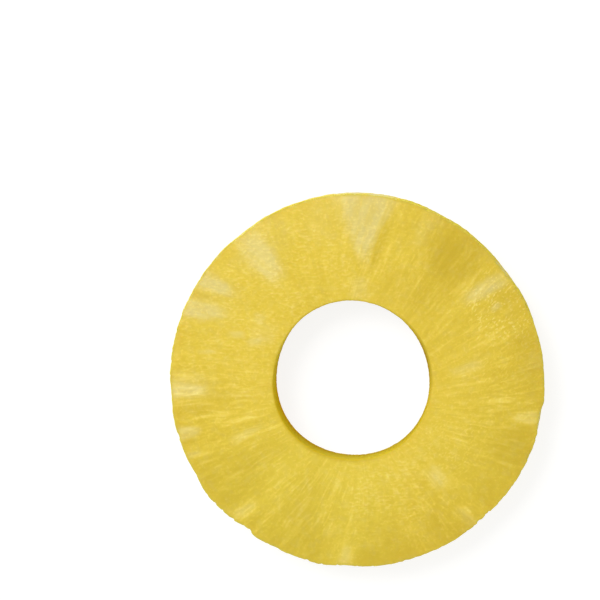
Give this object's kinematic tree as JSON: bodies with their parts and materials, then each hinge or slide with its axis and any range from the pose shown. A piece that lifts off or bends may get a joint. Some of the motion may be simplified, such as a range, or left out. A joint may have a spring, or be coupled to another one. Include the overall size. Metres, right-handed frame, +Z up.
{
  "type": "pineapple ring",
  "caption": "Cored ring of ripe pineapple flesh, cut flat on both faces, with an uneven peeled rim and a round hole bored through the middle.",
  "frame": {"origin": "middle of the ring's bounding box, on the flat face that it rests on", "axes": "+Z up through the ring's thickness; +X to the right and +Y to the top of the ring as seen from above"},
  "size_m": [0.0854, 0.0852, 0.0101],
  "materials": {
    "flesh": "moist ripe pineapple flesh, radial fibres, satin"
  },
  "bodies": {
    "root": {"pineapple_ring": "flesh"}
  },
  "joints": []
}
